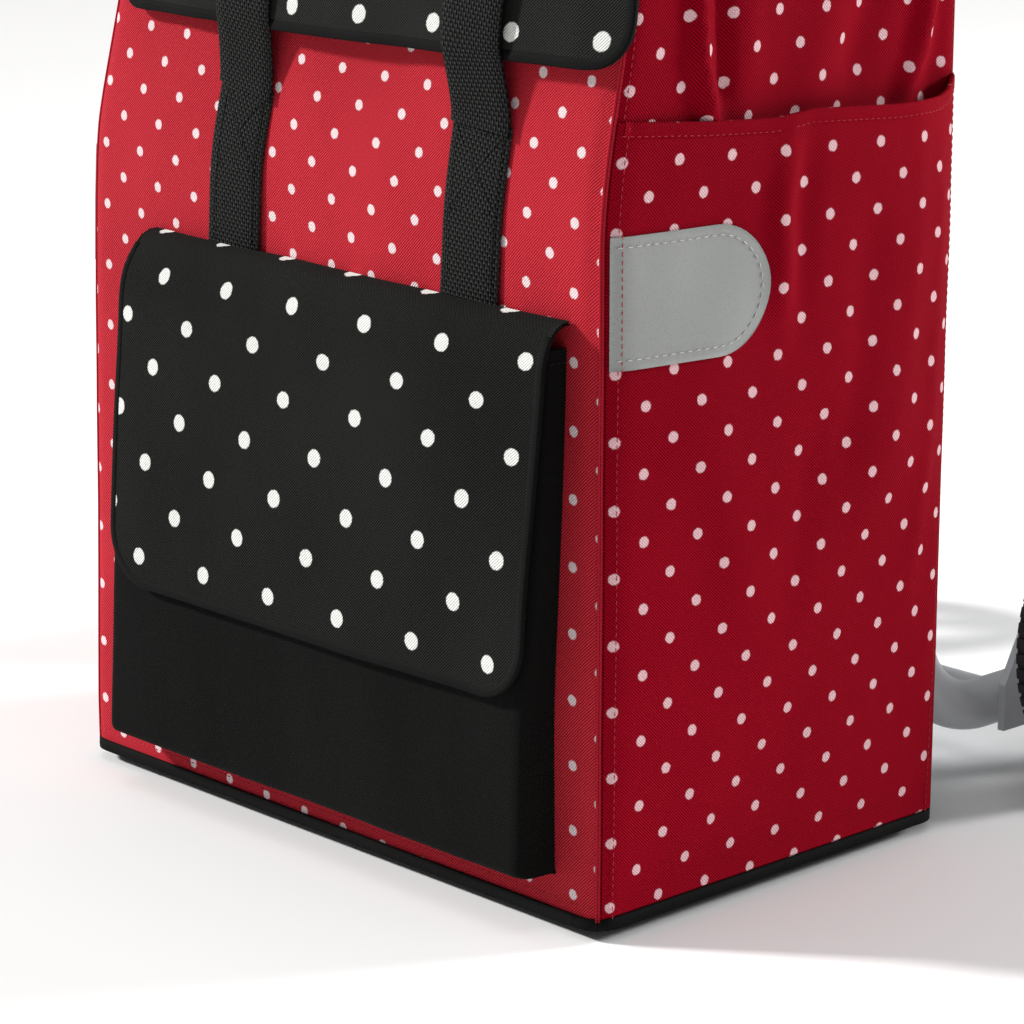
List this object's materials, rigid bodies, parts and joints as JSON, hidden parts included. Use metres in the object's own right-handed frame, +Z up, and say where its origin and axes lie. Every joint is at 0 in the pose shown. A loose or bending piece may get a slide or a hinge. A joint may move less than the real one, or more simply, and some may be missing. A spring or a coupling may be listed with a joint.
{
  "type": "shopping trolley",
  "caption": "Two-wheeled shopping trolley: lift-off fabric bag with lid, flap pocket, side pocket and carrying loop on a tube frame with a telescopic pull handle.",
  "frame": {"origin": "on the floor, at the middle of the footprint of the whole trolley", "axes": "+Z up, the bag's front faces -Y, the wheels and the pull handle are at +Y, +X is the side pocket's side"},
  "size_m": [0.447, 0.4676, 1.0022],
  "materials": {
    "frame_paint": "satin powder coat",
    "handle_metal": "satin anodised",
    "black_plastic": "moulded, lightly grained",
    "wheel_plastic": "moulded",
    "tyre": "matt rubber",
    "foot_rubber": "matt rubber",
    "grip_rubber": "soft grip",
    "bright_steel": "zinc plated",
    "red_dotted_fabric": "twill with small white dots",
    "black_fabric": "plain twill",
    "black_dotted_fabric": "twill with large white dots",
    "black_binding": "folded edge tape",
    "red_piping": "folded seam",
    "black_webbing": "woven webbing",
    "touch_tape": "hook and loop",
    "base_board": "stiff sheet",
    "reflector": "silver grey reflective sheet"
  },
  "bodies": {
    "frame": {"side_tube_left": "frame_paint", "side_tube_right": "frame_paint", "upper_cross_bar": "frame_paint", "rear_cross_bar": "frame_paint", "lower_cross_plate": "frame_paint", "toe_plate": "frame_paint", "axle_bracket_left": "frame_paint", "axle_bracket_right": "frame_paint", "tube_end_caps": "black_plastic", "guide_bush_left": "black_plastic", "guide_bush_right": "black_plastic", "clamp_collar_left": "black_plastic", "clamp_collar_right": "black_plastic", "rubber_feet": "foot_rubber", "toe_plate_bolts": "bright_steel", "stub_axle_left": "bright_steel", "stub_axle_right": "bright_steel", "axle_spacers": "bright_steel", "wheel_retainers": "bright_steel", "clamp_pins": "bright_steel"},
    "bag": {"base_panel": "black_fabric", "base_binding": "black_binding", "base_board": "base_board", "front_panel": "red_dotted_fabric", "back_panel": "black_fabric", "side_panel_left": "red_dotted_fabric", "side_panel_right": "red_dotted_fabric", "corner_piping": "red_piping", "rim_binding": "black_binding", "front_pocket": "black_fabric", "pocket_touch_tape": "touch_tape", "side_pocket": "red_dotted_fabric", "reflector_tab_left": "reflector", "reflector_tab_right": "reflector", "front_strap_left": "black_webbing", "front_strap_right": "black_webbing", "carry_handle": "black_webbing", "bag_hooks": "black_plastic"},
    "lid": {"lid_cover": "black_dotted_fabric", "lid_binding": "black_binding"},
    "pocket_flap": {"pocket_flap": "black_dotted_fabric", "flap_binding": "black_binding", "flap_touch_tape": "touch_tape"},
    "handle": {"handle_tube": "handle_metal", "hand_grip": "grip_rubber", "handle_end_plugs": "black_plastic"},
    "lever_left": {"clamp_lever_left": "black_plastic"},
    "lever_right": {"clamp_lever_right": "black_plastic"},
    "wheel_left": {"tyre_left": "tyre", "wheel_rim_left": "wheel_plastic", "hub_bush_left": "black_plastic", "hub_cap_left": "black_plastic"},
    "wheel_right": {"tyre_right": "tyre", "wheel_rim_right": "wheel_plastic", "hub_bush_right": "black_plastic", "hub_cap_right": "black_plastic"}
  },
  "joints": [
    {"name": "bag_lift", "type": "slide", "parent": "frame", "child": "bag", "axis": [0, 0, 1], "range_m": [0, 0.06]},
    {"name": "lid_open", "type": "hinge", "parent": "bag", "child": "lid", "pos_m": [0, 0.02275, 0.548], "axis": [-1, 0, 0], "range_deg": [0, 90], "deforming": ["carry_handle"]},
    {"name": "flap_open", "type": "hinge", "parent": "bag", "child": "pocket_flap", "pos_m": [0, -0.21145, 0.284], "axis": [-1, 0, 0], "range_deg": [0, 90]},
    {"name": "handle_slide", "type": "slide", "parent": "frame", "child": "handle", "axis": [0, 0, 1], "range_m": [-0.25, 0]},
    {"name": "lever_left_open", "type": "hinge", "parent": "frame", "child": "lever_left", "pos_m": [-0.14, 0.07175, 0.584], "axis": [1, 0, 0], "range_deg": [0, 100]},
    {"name": "lever_right_open", "type": "hinge", "parent": "frame", "child": "lever_right", "pos_m": [0.14, 0.07175, 0.584], "axis": [1, 0, 0], "range_deg": [0, 100]},
    {"name": "wheel_left_spin", "type": "hinge", "parent": "frame", "child": "wheel_left", "pos_m": [-0.202, 0.15375, 0.08], "axis": [1, 0, 0], "continuous": true},
    {"name": "wheel_right_spin", "type": "hinge", "parent": "frame", "child": "wheel_right", "pos_m": [0.202, 0.15375, 0.08], "axis": [1, 0, 0], "continuous": true}
  ]
}
